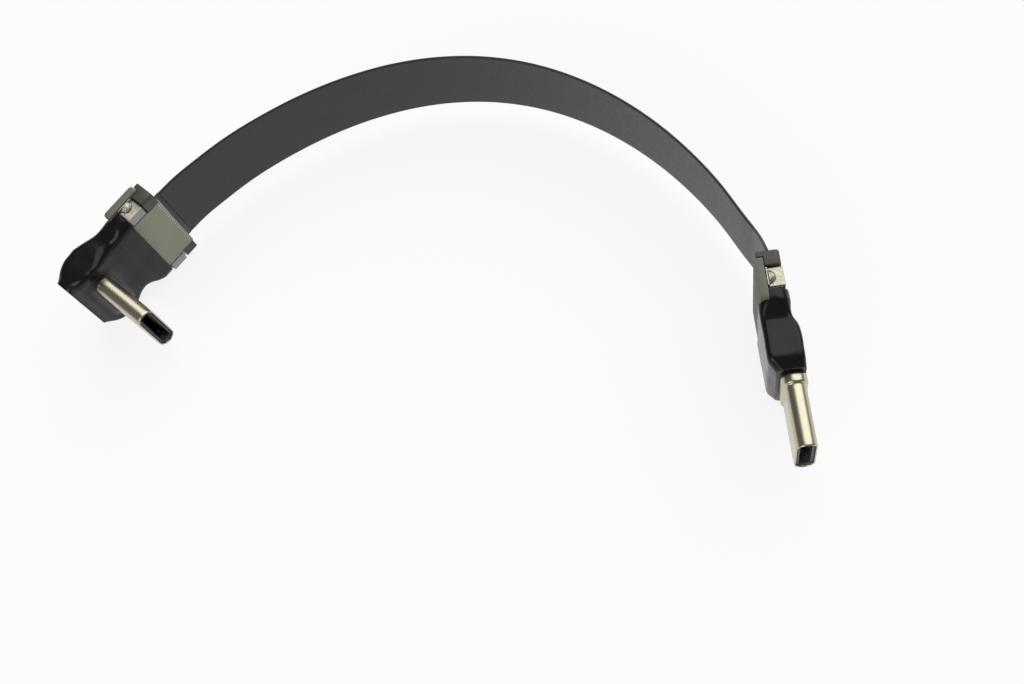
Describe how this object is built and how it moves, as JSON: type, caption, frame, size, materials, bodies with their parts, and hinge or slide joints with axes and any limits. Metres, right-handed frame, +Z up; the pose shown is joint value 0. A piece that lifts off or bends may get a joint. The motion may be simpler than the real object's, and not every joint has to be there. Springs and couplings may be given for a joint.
{
  "type": "flat usb-c cable",
  "caption": "Flat black ribbon cable standing on edge in an arc, with a small board at each end: one plug stands square to its board, the other points straight on.",
  "frame": {"origin": "bottom centre of the box round the two connectors, the ribbon left out", "axes": "+Z up, the ribbon and both boards standing on edge; +X from the left (right-angle) end to the right (straight) end; the straight plug points along -Y"},
  "size_m": [0.0878, 0.0567, 0.0155],
  "materials": {
    "ribbon_black": "satin",
    "stiffener_blue": "satin",
    "housing_beige": "matte",
    "slider_brown": "matte",
    "tinned_metal": "satin",
    "solder": "bright",
    "board_laminate": "matte",
    "shrink_black": "satin",
    "plug_metal": "bright",
    "plug_insert": "matte"
  },
  "bodies": {
    "cable": {"left_ribbon_end": "stiffener_blue", "left_connector_housing": "housing_beige", "left_board": "board_laminate", "left_hold_down_upper": "tinned_metal", "left_hold_down_lower": "tinned_metal", "left_solder_upper": "solder", "left_solder_lower": "solder", "left_heat_shrink": "shrink_black", "left_plug_shell": "plug_metal", "left_plug_insulator": "plug_insert", "left_plug_latch": "tinned_metal", "right_ribbon_end": "stiffener_blue", "right_connector_housing": "housing_beige", "right_board": "board_laminate", "right_hold_down_upper": "tinned_metal", "right_hold_down_lower": "tinned_metal", "right_solder_upper": "solder", "right_solder_lower": "solder", "right_heat_shrink": "shrink_black", "right_plug_shell": "plug_metal", "right_plug_insulator": "plug_insert", "right_plug_latch": "tinned_metal", "ribbon": "ribbon_black"},
    "left_slider": {"left_slider": "slider_brown"},
    "right_slider": {"right_slider": "slider_brown"}
  },
  "joints": [
    {"name": "left_slider_release", "type": "slide", "parent": "cable", "child": "left_slider", "axis": [0.7071, 0.7071, 0], "range_m": [0, 0.001]},
    {"name": "right_slider_release", "type": "slide", "parent": "cable", "child": "right_slider", "axis": [0, 1, 0], "range_m": [0, 0.001]}
  ]
}
